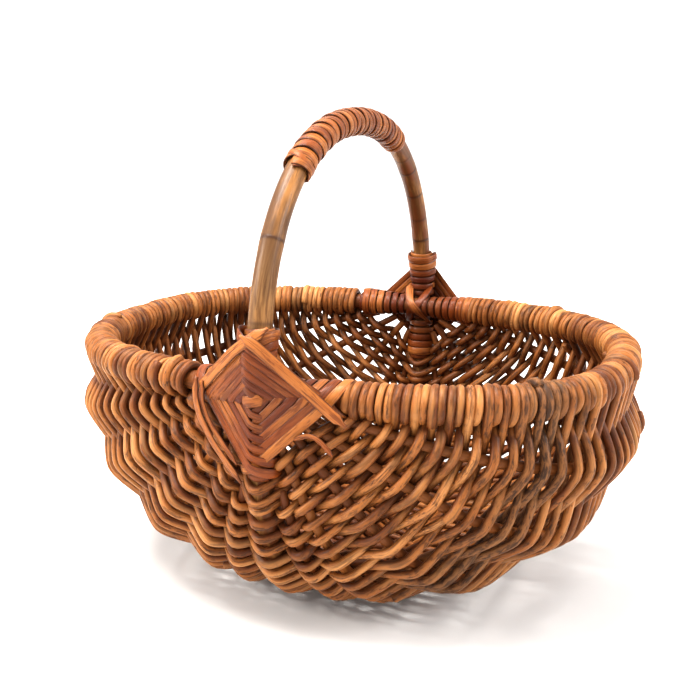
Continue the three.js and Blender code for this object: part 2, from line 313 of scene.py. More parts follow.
def count(name, description, default, least):
    """A whole number property."""
    return bpy.props.IntProperty(name=name, description=description, default=default, min=least)


def colour(name, description, default):
    """A colour property."""
    return bpy.props.FloatVectorProperty(
        name=name, description=description, default=default, size=3, min=0, max=1, subtype="COLOR"
    )


class BasketWeave(bpy.types.PropertyGroup):
    """Sizes of the weave."""

    rows: count("Rows", "Rows of weave from end to end", 88, 20)
    butt: length("Butt radius", "Radius of a rod at its thick end", 2.98 * MM)
    tip: length("Tip radius", "Radius of a rod at its thin end", 2.38 * MM)
    seed: count("Seed", "Picks another set of rods", 7, 0)


class BasketPeel(bpy.types.PropertyGroup):
    """Sizes of the lashings and the grip."""

    rings: count("Rings", "Rings of peel in a lashing", 6, 3)
    first: length("First ring", "Reach of the innermost ring", 3 * MM)
    last: length("Last ring", "Reach of the outermost ring", 37 * MM)
    thickness: length("Thickness", "Thickness of the split peel", 1.15 * MM)
    turns: count("Grip turns", "Turns of peel round the grip", 26, 5)


class BasketColours(bpy.types.PropertyGroup):
    """Colours of the rods and the peel."""

    # The pale rod colour is also reached by the painted light on rods' fronts, and the brown one by the
    # painted shade on their flanks and where they dip behind ribs.
    pale_rod: colour("Pale rod", "Rubbed tops of the palest rods", (0.48, 0.222, 0.078))
    honey_rod: colour("Honey rod", "Most of the rods", (0.29, 0.102, 0.023))
    brown_rod: colour("Brown rod", "The darker rods", (0.115, 0.030, 0.006))
    stained_rod: colour("Stained rod", "Grey weathered rods", (0.036, 0.018, 0.010))
    peel: colour("Peel", "Split peel of the lashings", (0.215, 0.052, 0.008))
    red_peel: colour("Red peel", "Inner side of the peel", (0.085, 0.013, 0.003))
    cane: colour("Cane", "The handle cane", (0.31, 0.142, 0.042))
    floor: colour("Floor", "The surface below", (0.86, 0.845, 0.832))


# ---- Materials --------------------------------------------------------------------

# Tones that the finishes lay over their base colours.
BARK_STREAK = (0.060, 0.017, 0.005)
BARK_RING = (0.13, 0.05, 0.02)
BARK_FLECK = (0.060, 0.021, 0.007)
BARK_RUBBED = (0.50, 0.27, 0.10)
BARK_WEATHERED = (0.17, 0.075, 0.028)
FRAME_STREAK = (0.10, 0.035, 0.013)
PEEL_LIGHT = (0.40, 0.145, 0.034)
PEEL_BAND = (0.090, 0.016, 0.003)
PEEL_FIBRE = (0.045, 0.011, 0.003)
PEEL_SPECK = (0.10, 0.035, 0.015)
# Painted shade along the edges of peel strips.
PEEL_EDGE_SHADE = (0.040, 0.008, 0.002)
CANE_OLIVE = (0.095, 0.040, 0.012)
CANE_RED = (0.15, 0.040, 0.010)
CANE_FIBRE = (0.075, 0.030, 0.010)
CANE_BAND = (0.10, 0.042, 0.013)
CANE_PALE = (0.36, 0.21, 0.09)
CANE_SPECK = (0.07, 0.032, 0.015)
CANE_RING = (0.045, 0.016, 0.007)

# The sheen of bark and cane, and of peel, over their roughness.
BARK_SHEEN = {"Coat Weight": 0.03, "Coat Roughness": 0.2, "Specular IOR Level": 0.22}
CANE_SHEEN = {"Coat Weight": 0.03, "Coat Roughness": 0.18, "Specular IOR Level": 0.25}
PEEL_SHEEN = {"Coat Weight": 0.08, "Coat Roughness": 0.18, "Specular IOR Level": 0.22}

# The floor's faint clouds and the painted shade near the basket, as shares of its colour, and
# how far from the middle that painted shade ends and is at its full, in metres.
FLOOR_CLOUD_SHADE = 0.985
FLOOR_PAINTED_SHADE = 0.76
FLOOR_SHADE_END, FLOOR_SHADE_FULL = 0.8, 0.25


class Socket:
    """A node's output or a number, so that shader maths reads as an expression."""

    def __init__(self, finish, source):
        self.finish, self.source = finish, source

    def maths(self, operation, *others):
        """A Math node on this value and the others."""
        values = dict(enumerate((self, *others)))
        return self.finish.node("ShaderNodeMath", {"operation": operation}, values)[0]

    def __add__(self, other):
        return self.maths("ADD", other)

    def __sub__(self, other):
        return self.maths("SUBTRACT", other)

    def __rsub__(self, other):
        return Socket(self.finish, other).maths("SUBTRACT", self)

    def __mul__(self, other):
        return self.maths("MULTIPLY", other)

    def __truediv__(self, other):
        return self.maths("DIVIDE", other)

    def __rtruediv__(self, other):
        return Socket(self.finish, other).maths("DIVIDE", self)

    __radd__, __rmul__ = __add__, __mul__

    def within(self, low, high):
        """0 at low, 1 at high, and a smooth step between them, whichever is the greater."""
        settings = {"interpolation_type": "SMOOTHSTEP"}
        return self.finish.node("ShaderNodeMapRange", settings, {0: self, 1: low, 2: high})[0]


class Finish:
    """A material whose nodes are added by one method."""

    def __init__(self, name):
        made = bpy.data.materials.new(name)
        made.use_nodes = True
        self.tree = made.node_tree
        self.tree.nodes.clear()

    def node(self, kind, settings=None, inputs=None):
        """Adds a node with its settings, then its socket values or links. It gives the
        node's outputs."""
        made = self.tree.nodes.new(kind)
        for key, value in (settings or {}).items():
            setattr(made, key, value)
        for key, value in (inputs or {}).items():
            value = value.source if isinstance(value, Socket) else value
            if isinstance(value, bpy.types.NodeSocket):
                self.tree.links.new(value, made.inputs[key])
            else:
                made.inputs[key].default_value = value
        return [Socket(self, out) for out in made.outputs]

    def attribute(self, name):
        """A vector stored on the mesh, and its three numbers."""
        outputs = self.node("ShaderNodeAttribute", {"attribute_name": name})
        return outputs[1], self.node("ShaderNodeSeparateXYZ", None, {0: outputs[1]})

    def stretched(self, vector, along, across, shift=0):
        """Grain coordinates in metres scaled to cells along and across a rod."""
        scale = (1 / along, 1 / across, 1 / across)
        return self.node("ShaderNodeMapping", None, {0: vector, 1: (shift, shift, 0), 3: scale})[0]

    def noise(self, vector, detail=2.0, rough=0.5, warp=0.0):
        """Soft noise with one cell to each unit of the coordinates."""
        inputs = {"Vector": vector, "Scale": 1.0, "Detail": detail, "Roughness": rough}
        return self.node("ShaderNodeTexNoise", None, {**inputs, "Distortion": warp})[0]

    def mix(self, share, first, second):
        """A mix of two colours."""
        first, second = (v if isinstance(v, Socket) else (*v, 1) for v in (first, second))
        settings = {"data_type": "RGBA", "clamp_factor": True}
        return self.node("ShaderNodeMix", settings, {0: share, 6: first, 7: second})[2]

    def close(self, base, rough, bump, depth, sheen):
        """Closes the material: its colour, its roughness, its bumps up to a depth in metres, and
        the sheen over them."""
        inputs = {"Strength": 1.0, "Distance": depth, "Height": bump}
        normal = self.node("ShaderNodeBump", None, inputs)[0]
        inputs = {"Base Color": base, "Roughness": rough, "Normal": normal, **sheen}
        shader = self.node("ShaderNodeBsdfPrincipled", None, inputs)[0]
        self.node("ShaderNodeOutputMaterial", None, {0: shader})


def rod_finish(finish, colours):
    """Thin bark on whole rods: each rod its own brown, with streaks, specks, rubbed tops, and the
    painted light and shade that the rods' tone carries.
    """
    grain, _ = finish.attribute("grain")
    _, (shade, stain, worn) = finish.attribute("tone")
    streak = finish.noise(finish.stretched(grain, 0.024, 0.0017), 3.0, 0.65, 0.4)
    cloud = finish.noise(finish.stretched(grain, 0.032, 0.009, 3.1), 3.0, 0.6)
    speck = finish.noise(finish.stretched(grain, 0.0058, 0.0018, 7.7), 3.0, 0.65, 0.4)
    ring = finish.noise(finish.stretched(grain, 0.0050, 0.02, 5.3), 3.0, 0.75)
    # The shade holds each rod's own tone and the painted light and shade laid on in add_rod and one_rod.
    level = shade * 0.80 + cloud * 0.60 + streak * 0.45 - 0.55
    base = finish.mix(level.within(0.02, 0.50), colours.brown_rod, colours.honey_rod)
    base = finish.mix(level.within(0.42, 0.95), base, colours.pale_rod)
    base = finish.mix(streak.within(0.50, 0.62) * 0.65, base, BARK_STREAK)
    base = finish.mix(ring.within(0.58, 0.70) * 0.45, base, BARK_RING)
    flecks = speck.within(0.50, 0.60) * cloud.within(0.60, 0.44) + speck.within(0.58, 0.68) * 0.6
    base = finish.mix(flecks * 0.62, base, BARK_FLECK)
    base = finish.mix(worn * cloud.within(0.42, 0.66) * 0.45, base, BARK_RUBBED)
    stained = finish.mix(speck.within(0.40, 0.58), BARK_WEATHERED, colours.stained_rod)
    base = finish.mix(stain, base, stained)
    rough = 0.40 + streak * 0.16 + stain * 0.12
    bump = streak * 0.7 + ring * 0.4 + speck * 0.25
    finish.close(base, rough, bump, 0.0006, BARK_SHEEN)


def frame_finish(finish, colours):
    """Smooth brown rods of the rim and the ribs."""
    grain, _ = finish.attribute("grain")
    _, (shade, _, _) = finish.attribute("tone")
    streak = finish.noise(finish.stretched(grain, 0.040, 0.0015), 3.0, 0.6)
    cloud = finish.noise(finish.stretched(grain, 0.050, 0.02), 2.0)
    level = cloud * 0.7 + shade * 0.5
    base = finish.mix(level.within(0.25, 0.95), colours.brown_rod, colours.honey_rod)
    base = finish.mix(streak.within(0.5, 0.7) * 0.5, base, FRAME_STREAK)
    finish.close(base, 0.42 + streak * 0.15, streak, 0.0004, BARK_SHEEN)


def peel_finish(finish, colours):
    """Glossy flat peel: orange brown, redder in places, with fine fibres and painted shade along
    each strip's edges.
    """
    grain, (_, across, _) = finish.attribute("grain")
    _, (shade, red, half_width) = finish.attribute("tone")
    fibre = finish.noise(finish.stretched(grain, 0.035, 0.0007), 3.0, 0.65, 0.2)
    band = finish.noise(finish.stretched(grain, 0.022, 0.0026, 8.1), 3.0, 0.65, 0.5)
    cloud = finish.noise(finish.stretched(grain, 0.022, 0.007, 4.4), 2.0)
    speck = finish.noise(finish.stretched(grain, 0.006, 0.0012, 2.2), 2.0, 0.7)
    base = finish.mix(red * 1.1 + cloud * 0.5 - 0.25, colours.peel, colours.red_peel)
    light = (shade * 0.6 + cloud * 0.6).within(0.45, 0.95) * (1 - red * 0.8)
    base = finish.mix(light, base, PEEL_LIGHT)
    base = finish.mix(band.within(0.48, 0.60) * 0.65, base, PEEL_BAND)
    base = finish.mix(fibre.within(0.50, 0.64) * 0.5, base, PEEL_FIBRE)
    base = finish.mix(speck.within(0.62, 0.74) * 0.45, base, PEEL_SPECK)
    # Painted shade along each strip's edges, where the strips meet and overlap.
    side = (across * (1 / MM) / half_width).maths("ABSOLUTE")
    base = finish.mix(side.within(0.76, 0.98) * 0.8, base, PEEL_EDGE_SHADE)
    bump = fibre * 0.7 + band * 0.6
    finish.close(base, 0.30 + fibre * 0.18, bump, 0.0005, PEEL_SHEEN)


def cane_finish(finish, colours):
    """Smooth cane: tan and olive grain, darker and redder towards the far leg, with rings."""
    grain, _ = finish.attribute("grain")
    _, (ring, red, pale) = finish.attribute("tone")
    fibre = finish.noise(finish.stretched(grain, 0.070, 0.0009), 4.0, 0.6, 0.2)
    broad = finish.noise(finish.stretched(grain, 0.035, 0.010, 1.7), 3.0, 0.6)
    band = finish.noise(finish.stretched(grain, 0.045, 0.0040, 6.2), 4.0, 0.65, 0.6)
    speck = finish.noise(finish.stretched(grain, 0.004, 0.0010, 9.1), 2.0, 0.7)
    base = finish.mix(broad.within(0.35, 0.68), CANE_OLIVE, colours.cane)
    base = finish.mix(red * broad.within(0.62, 0.42) * 0.9, base, CANE_RED)
    base = finish.mix(fibre.within(0.48, 0.70) * 0.50, base, CANE_FIBRE)
    base = finish.mix(band.within(0.46, 0.58) * 0.65, base, CANE_BAND)
    base = finish.mix(pale * band.within(0.60, 0.40) * 0.35, base, CANE_PALE)
    base = finish.mix(speck.within(0.64, 0.76) * 0.5, base, CANE_SPECK)
    base = finish.mix(ring, base, CANE_RING)
    bump = fibre * 0.5 + ring * -0.8 + band * 0.5
    finish.close(base, 0.30 + fibre * 0.16, bump, 0.0004, CANE_SHEEN)


def floor_finish(finish, colours):
    """Plain pale paper-like floor, with painted shade near the basket."""
    where = finish.node("ShaderNodeTexCoord")[3]
    cloud = finish.noise(finish.node("ShaderNodeMapping", None, {0: where, 3: (3, 3, 3)})[0], 3.0)
    away = finish.node("ShaderNodeVectorMath", {"operation": "LENGTH"}, {0: where})[1]
    clouded, shaded = (
        [share * level for level in colours.floor] for share in (FLOOR_CLOUD_SHADE, FLOOR_PAINTED_SHADE)
    )
    base = finish.mix(cloud, colours.floor, clouded)
    # Painted shade on the floor near the basket.
    base = finish.mix(away.within(FLOOR_SHADE_END, FLOOR_SHADE_FULL), base, shaded)
    finish.close(base, 0.7, cloud, 0.0001, {})


FINISHES = {
    "woven_rod_bark": rod_finish,
    "frame_rod_bark": frame_finish,
    "peel_fibres": peel_finish,
    "cane_grain": cane_finish,
    "pale_floor": floor_finish,
}


def material(name):
    """The material of this name, made when it is first wanted."""
    if name not in bpy.data.materials:
        FINISHES[name](Finish(name), bpy.context.scene.basket_colours)
    return bpy.data.materials[name]


# ---- Routes -----------------------------------------------------------------------


def around(guide, along):
    """Centres on a guide, with the directions out of the bowl and sideways there, which is up
    at the rim and towards +X on the handle and the keel."""
    centre, travel = guide.at(along), guide.direction(along)
    out = centre - BOWL_MIDDLE
    out = unit(out - travel * np.sum(out * travel, axis=-1, keepdims=True))
    side = np.cross(travel, out)
    return centre, out, side * np.sign(side @ (0.6, 0, 0.8))[..., None]


def wound(guide, along, angle, radius):
    """A path wound round a guide, and its outward directions. Angle 0 is out of the bowl,
    and a quarter turn is up at the rim, or to +X on the handle and the keel."""
    centre, out, side = around(guide, along)
    away = out * np.cos(angle)[:, None] + side * np.sin(angle)[:, None]
    return centre + away * np.asarray(radius)[..., None], away


# How far a rod keeps its direction before it bends, as a share of the way to the next stop.
ROD_CARRY = 0.55
# Points on a rod from one stop to the next, and on its turns round the rim.
BRIDGE_POINTS = 14
TURN_POINTS = 34
# The turns round the rim, in degrees from straight out of the bowl.
TURN_START, TURN_SWEEP = -22, 588
# The rods that the route is cut into: their points' distance, their lengths in metres, the
# fewest points that one may have, and how far it lies beside the next one at each end.
ROD_STEP = 2.6 * MM
ROD_LENGTHS = (0.70, 1.45)
LEAST_POINTS = 60
OVERLAP_POINTS = 6
# How far a butt stands out and a tip is sunk, and over how many points that fades.
BUTT_OUT = 1.9 * MM
TIP_IN = 1.5 * MM
END_POINTS = 7
# A rod gets painted shade where it dips behind a rib: below its mean level over this many
# points each way, the dip that counts in full, and how much darker. Its turns round the rim
# get painted shade as well, which tones down the strong top light there.
LEVEL_POINTS = 12
SUNK_DEPTH = 6 * MM
SUNK_PAINTED_SHADE = 0.3
RIM_PAINTED_SHADE = 0.13
# The weathered rows: their middle and spread, where towards +X they begin, and over how many
# millimetres they come in.
WEATHERED_MIDDLE, WEATHERED_SPREAD = 24.5, 4.5
WEATHERED_FROM, WEATHERED_FADE = 50, 45


def bridge(start, leave, stop, arrive):
    """A smooth curve between two points with given directions, without its last point."""
    t = (np.arange(BRIDGE_POINTS) / BRIDGE_POINTS)[:, None]
    pull = ROD_CARRY * np.linalg.norm(stop - start)
    return (
        start * (2 * t**3 - 3 * t**2 + 1)
        + leave * pull * (t**3 - 2 * t**2 + t)
        + stop * (3 * t**2 - 2 * t**3)
        + arrive * pull * (t**3 - t**2)
    )


class Weaving:
    """The whole weave as one route: every row and every turn round the rim, in order."""

    def __init__(self, sizes):
        self.sizes = sizes
        self.random = np.random.default_rng(sizes.seed)
        self.rod = (sizes.butt + sizes.tip) / 2
        wander = self.random.uniform(-0.10, 0.10, sizes.rows)
        self.shares = (np.arange(sizes.rows) + 0.5 + wander) / sizes.rows

    def place(self, index, share):
        """The distance along a guide of a row at this share of the weave."""
        return ROW_STARTS[index] + share * (GUIDES[index].length - 2 * ROW_STARTS[index])

    def passes(self, row):
        """Where a row passes the keel and the ribs, in front of one and behind the next, and
        the way out of the bowl at each."""
        places = []
        for index in range(1, len(GUIDES) - 1):
            guide = GUIDES[index]
            along = self.place(index, self.shares[row]) + self.random.normal(0, 0.45 * MM)
            if GUIDE_STARTS[index] < along < guide.length - GUIDE_STARTS[index]:
                centre, out, _ = around(guide, along)
                outside = 1 if (len(places) + 1 + row) % 2 == 0 else -1
                lift = GUIDE_RODS[index] + self.rod + self.random.uniform(-0.3, 0.5) * MM
                places.append([*(centre + out * outside * lift), *out])
        return np.array(places)

    def rim_turns(self, index, even_row, odd_row):
        """The turns round the rim from an even row's end to an odd row's, with the ways out of
        the rim."""
        first, last = (self.place(index, self.shares[row]) for row in (even_row, odd_row))
        quarter = (last - first) / 4
        share = np.linspace(0, 1, TURN_POINTS)
        along = first - quarter + (last - first + 2 * quarter) * share
        angle = np.radians(TURN_START + TURN_SWEEP * share)
        loose = self.random.uniform(0, 0.5) * MM + 0.35 * MM * np.sin(3 * angle + even_row)
        path, away = wound(GUIDES[index], along, angle, RIM_ROD + self.rod + loose)
        return np.concatenate([path, away], axis=1)

    def route(self):
        """The route's points, each with its way out, and the row that it belongs to. Even rows
        run from the left rim to the right one, and odd rows back."""
        rows = self.sizes.rows
        turns = []
        for row in range(rows - 1):
            if row % 2:
                turns.append(self.rim_turns(0, row + 1, row)[::-1])
            else:
                turns.append(self.rim_turns(-1, row, row + 1))
        points, marks = [], []
        for row in range(rows):
            stops = self.passes(row)
            if row % 2:
                stops = stops[::-1]
            if row > 0:
                stops = np.concatenate([turns[row - 1][-2:], stops])
            if row < rows - 1:
                stops = np.concatenate([stops, turns[row][:2]])
            leaves = unit(np.gradient(stops[:, :3], axis=0))
            share = (np.arange(BRIDGE_POINTS) / BRIDGE_POINTS)[:, None]
            for i in range(int(row > 0), len(stops) - 1 - int(row < rows - 1)):
                path = bridge(stops[i, :3], leaves[i], stops[i + 1, :3], leaves[i + 1])
                away = stops[i, 3:] * (1 - share) + stops[i + 1, 3:] * share
                points.append(np.concatenate([path, away], axis=1))
                marks.append(np.full(BRIDGE_POINTS, row))
            if row < rows - 1:
                points.append(turns[row])
                marks.append(np.full(len(turns[row]), row + 0.5))
        return np.concatenate(points), np.concatenate(marks)

    def rods(self):
        """Each rod's path, radii, tones, ways out and mean row. A rod starts beside the last
        one's tip."""
        points, marks = self.route()
        run = lengths(points[:, :3])
        wanted = np.arange(0, run[-1], ROD_STEP)
        path = eased(np.stack([np.interp(wanted, run, c) for c in points.T], -1), 1)
        mark = np.interp(wanted, run, marks)
        start = 0
        while start < len(path):
            stop = start + int(self.random.uniform(*ROD_LENGTHS) / ROD_STEP)
            if len(path) - stop < LEAST_POINTS:
                stop = len(path)
            low, high = max(0, start - OVERLAP_POINTS), min(len(path), stop + OVERLAP_POINTS)
            yield self.one_rod(path[low:high].copy(), mark[low:high])
            start = stop

    def one_rod(self, route, mark):
        """One tapered rod: its butt stands a little proud and its tip is tucked in."""
        path, away = route[:, :3], unit(route[:, 3:])
        count = len(path)
        from_butt = np.arange(count)
        path += away * (BUTT_OUT * np.exp(-((from_butt / END_POINTS) ** 2)))[:, None]
        path -= away * (TIP_IN * np.exp(-(((count - from_butt) / END_POINTS) ** 2)))[:, None]
        share = from_butt / count
        size = self.random.uniform(0.93, 1.07)
        radius = size * (self.sizes.butt + (self.sizes.tip - self.sizes.butt) * share)
        radius = radius * (1 + 0.03 * np.sin(share * 61 + 9 * size))
        path[:, 2] = np.maximum(path[:, 2], radius + 0.2 * MM)
        shade = self.random.beta(3.4, 2.6)
        height = np.linalg.norm(path - BOWL_MIDDLE, axis=1)
        window = 2 * LEVEL_POINTS + 1
        level = np.convolve(np.pad(height, LEVEL_POINTS, "edge"), np.full(window, 1 / window), "valid")
        in_row = np.abs(mark - np.round(mark)) < 0.3
        sunk = in_row * np.clip((level - height) / SUNK_DEPTH, 0, 1)
        weathered = np.exp(-(((mark - WEATHERED_MIDDLE) / WEATHERED_SPREAD) ** 2))
        weathered *= np.clip((path[:, 0] / MM - WEATHERED_FROM) / WEATHERED_FADE, 0, 1)
        stain = weathered * self.random.choice([0.1, 0.7, 0.95]) + 0.5 * (self.random.random() < 0.05)
        worn = self.random.random()
        # Painted shade where the rod dips behind a rib and on its turns round the rim.
        shades = shade + 0.05 - SUNK_PAINTED_SHADE * sunk - RIM_PAINTED_SHADE * ~in_row
        tone = np.stack([shades, np.clip(stain, 0, 1), worn * (1 - sunk)], -1)
        return path, radius, tone, away, mark.mean()


# Strands of a lashing, as stops in millimetres: the patch over its middle, a strand that
# crosses the rim on the inside, and the near lashing's loose strands with width and tone.
CENTRE_PATCH = [(-6, 14.6, -1.5), (-3, 16.5, -0.5), (3, 16.5, 0.5), (6, 14.6, 1.5)]
INNER_STRAND = [(-9, 5, 16), (-6.5, -6, 9), (-3, -13.2, 3), (3, -13.2, -3), (6.5, -6, -9), (9, 5, -16)]
LOOSE_STRANDS = (
    (
        [(-40, 7, 7), (-41, 9, -2), (-36, 13, -13), (-26, 16, -27), (-13, 18, -41), (-7, 18, -48)],
        5.2,
        (0.9, 0.3),
    ),
    ([(-35, 9, 6), (-36, 10.5, -4), (-30, 13.5, -15), (-19, 16.5, -27), (-9, 18.5, -37)], 4.2, (0.7, 0.45)),
    (
        [(9, 12, 41), (3, 18, 37), (-11, 16, 27), (-23, 12, 16), (-33, 9, 6), (-41, 5.5, -1)],
        6.6,
        (0.95, 0.05),
    ),
    (
        [(-5, 17.5, 37), (4, 19, 33), (18, 16, 21), (31, 12.5, 9), (43, 11, -1), (54, 11, -9)],
        6.8,
        (0.8, 0.1),
    ),
    ([(24, 12, -20), (32, 11, -16), (40, 12, -19), (47, 13, -26)], 3.2, (0.7, 0.35)),
)
# The distance between a strip's points.
STRIP_STEP = 1.5 * MM

# For each arm of a crossing, clockwise from the handle: how much a turn slants, and how much
# farther out its last turn lies on the near lashing.
ARM_SLANTS = (0.6, 0.8, 0.35, 0.8)
NEAR_ARM_SHIFTS = (-3.5 * MM, 5.5 * MM, 2.5 * MM, -2.5 * MM)
# The innermost turns stand this far off the rim, and turns at this reach lie on it.
RIM_PADDING = 14.5 * MM
PADDED_REACH = 44 * MM
# How far a strip leans so that its inner edge stands up.
STRIP_LEAN = 0.2
# The strip lifts off the arms and gets wider towards the last ring, and it leaves each arm
# over its own start.
FIRST_LIFT, MORE_LIFT = 0.75 * MM, 3.4 * MM
FIRST_WIDTH, MORE_WIDTH = 4.6 * MM, 1.9 * MM
OVERLAY_LIFT = 1.1 * MM
# The angles of the turn that arrives at an arm and goes round it, and of the one that leaves it.
ARRIVING = np.radians(np.linspace(-6, 250, 24))
LEAVING = np.radians(np.linspace(-100, 6, 12))


class Crossing:
    """Where the handle crosses the rim: its four arms, seen from outside the basket."""

    def __init__(self, name):
        self.near = name == "near"
        flip = 1 if self.near else -1
        self.front = np.array([0, -flip, 0.0])
        right = np.array([flip, 0, 0.0])
        up = np.array([0, 0, 1.0])
        rims = RIMS[::-1] if self.near else RIMS
        # Each arm: its guide, its rod, and the way to the next arm clockwise.
        self.arms = [
            (ARCH, HANDLE_ROD, right),
            (rims[0], RIM_ROD, -up),
            (KEEL, HANDLE_ROD, -right),
            (rims[1], RIM_ROD, up),
        ]

    def centre(self, guide, reach):
        """A point on an arm's centre line."""
        return guide.at(reach if self.near else guide.length - reach)

    def turn(self, arm, reach, angle, lift, lead):
        """A slanting turn round an arm, and its outward directions, which lean a little so that
        each strip's inner edge stands up. Angle 0 is the front of the arm, and a quarter turn is
        towards the next arm. Inner turns on the rim stand proud of it, because the handle lies
        over the rim there."""
        guide, rod, onward = self.arms[arm]
        front, side = np.cos(angle), np.sin(angle)
        thick = rod + lift
        slant = np.where(np.abs(angle) < math.pi / 2, side * lead, 1)
        along = reach + ARM_SLANTS[arm] * thick * slant
        padding = RIM_PADDING * max(0, 1 - reach / PADDED_REACH) if guide in RIMS else 0
        outward = unit(self.centre(guide, along + MM) - self.centre(guide, along))
        across = unit(np.cross(outward, np.cross(self.front, outward)))
        onward = np.cross(outward, across)
        onward = onward * np.sign(onward @ self.arms[arm][2])[:, None]
        depth = front * (thick + padding * np.clip(front, 0, 1) ** 0.7)
        path = self.centre(guide, along) + across * depth[:, None] + onward * (side * thick)[:, None]
        lean = STRIP_LEAN * np.clip(front, 0, 1)
        return path, across * front[:, None] + onward * side[:, None] + outward * lean[:, None]


def add_lashing(piece, crossing, sizes, random):
    """One long flat strip: straight from arm to arm on the outside and once round each arm."""
    parts = []
    quarters = sizes.rings * 4
    for quarter in range(quarters + 1):
        share = quarter / quarters
        arm = (quarter + 3) % 4
        reach = sizes.first + (sizes.last - sizes.first) * share
        reach += NEAR_ARM_SHIFTS[arm] * share * crossing.near
        lift = FIRST_LIFT + MORE_LIFT * share
        arrive = crossing.turn(arm, reach, ARRIVING, lift, 1)
        leave = crossing.turn(arm, reach, LEAVING, lift + OVERLAY_LIFT, -1)
        red = np.clip(1.1 - 1.45 * share + random.normal(0, 0.15), 0, 1)
        shades = random.random(2)
        width = FIRST_WIDTH + MORE_WIDTH * share**1.5
        for (path, away), shade in ((arrive, shades[0]), (leave, shades[1])):
            rest = np.broadcast_to((shade, red, width), (len(path), 3))
            parts.append(np.concatenate([path, away, rest], axis=1))
    values = np.concatenate(parts)
    run = lengths(values[:, :3])
    wanted = np.arange(0, run[-1], STRIP_STEP)
    values = np.stack([np.interp(wanted, run, c) for c in values.T], -1)
    path, out = eased(values[:, :3], 1), eased(values[:, 3:6], 3)
    add_strip(piece, path, out, values[:, 8], sizes.thickness, values[:, 6:8])


def add_ribbon(piece, crossing, stops, width, tone, thickness, inside=False):
    """A flat strand on a lashing, through stops given as distances to the right of the
    crossing's middle, in front of it and above it. It lies on the outside, or over the rim's
    inside."""
    right = np.cross(np.array([0, 0, 1.0]), crossing.front)
    middle = crossing.front * (RIM_HALF_WIDTH + RIM_ROD) + np.array([0, 0, RIM_Z])
    stops = np.array(stops) * MM @ np.stack([right, crossing.front, np.array([0, 0, 1.0])])
    path = eased(even(stops + middle, STRIP_STEP), 8)
    share = np.linspace(0, 1, len(path))
    shape = np.clip(np.minimum(share, 1 - share) * 12, 0.35, 1)
    out = crossing.front + 0.35 * unit(path - middle)
    if inside:
        out = (path - middle + crossing.front * RIM_ROD) * [0, 1, 1]
    add_strip(piece, path, out, width * shape, thickness, tone)


def make_peel(piece, node):
    """The finished object of peel that stands for this CAD node."""
    piece.make(f"{node}_peel", material("peel_fibres"), "split_peel", node)


def add_wrap(piece, crossing, guide, rod, span, lift, tone, thickness, turns, width, begin):
    """Flat turns round a guide at one end of it, between two distances from the crossing. They
    lie this far off the rod and begin at this angle."""
    share = np.linspace(0, 1, max(12, round(26 * turns)))
    along = span[0] + (span[1] - span[0]) * share
    if not crossing.near:
        along = guide.length - along
    angle = begin + 2 * math.pi * turns * share
    radius = rod + thickness / 2 + lift + 0.25 * MM * np.sin(2 * angle)
    path, away = wound(guide, along, angle, radius)
    add_strip(piece, path, away, width, thickness, tone)


# ---- Operators --------------------------------------------------------------------

# The cane's node rings, as shares of the handle's length and how deep each one is, and its
# knuckles. The cane is thicker at a knuckle and thinner at a ring.
NODE_RINGS = (
    (0.09, 0.5), (0.19, 0.9), (0.70, 0.5), (0.735, 0.9),
    (0.79, 0.8), (0.84, 0.6), (0.88, 0.9), (0.93, 0.5),
)
KNUCKLES = (0.19, 0.735, 0.88)
RING_WIDTH = 1.1 * MM
KNUCKLE_WIDTH = 6 * MM
# The rim rod's ends overlap by about this many points of its guide.
HOOP_OVERLAP = 10
# Turns of peel: how many, how wide, and at what angle they begin.
RIM_WRAP = {"turns": 1.05, "width": 4.2 * MM, "begin": 3.6}
KEEL_WRAPS = {
    "near": {"turns": 1.1, "width": 5 * MM, "begin": 0.4},
    "far": {"turns": 1.1, "width": 8 * MM, "begin": 0.4},
}
COLLAR_WRAPS = {
    "near": {"turns": 1.3, "width": 4.6 * MM, "begin": 2.2},
    "far": {"turns": 2.4, "width": 4.6 * MM, "begin": 2.2},
}
# Where they start and end, from the crossing. A rim binding has three such wraps and the far
# keel's has two, each farther out and higher than the last.
RIM_SPAN = np.array([37.5, 39.5]) * MM
RIM_WRAP_COUNT, RIM_WRAP_PITCH, RIM_WRAP_RISE = 3, 3.4 * MM, 0.4 * MM
KEEL_SPANS = {"near": np.array([44, 45]) * MM, "far": np.array([36, 37.5]) * MM}
KEEL_WRAP_COUNTS = {"near": 1, "far": 2}
KEEL_WRAP_PITCH, KEEL_WRAP_RISE = 6.4 * MM, 0.3 * MM
COLLAR_SPANS = {"near": np.array([34, 39]) * MM, "far": np.array([33, 43]) * MM}
COLLAR_LIFT = 0.3 * MM
COLLAR_TONE = (0.95, 0.1)
# The grip's turns get closer along it. Its peel overlaps, leans against the last turn and
# wanders a little.
GRIP_SPREAD = 0.16
GRIP_OVERLAP = 1.24
GRIP_LEAN = 0.13
GRIP_WANDER = 0.35 * MM


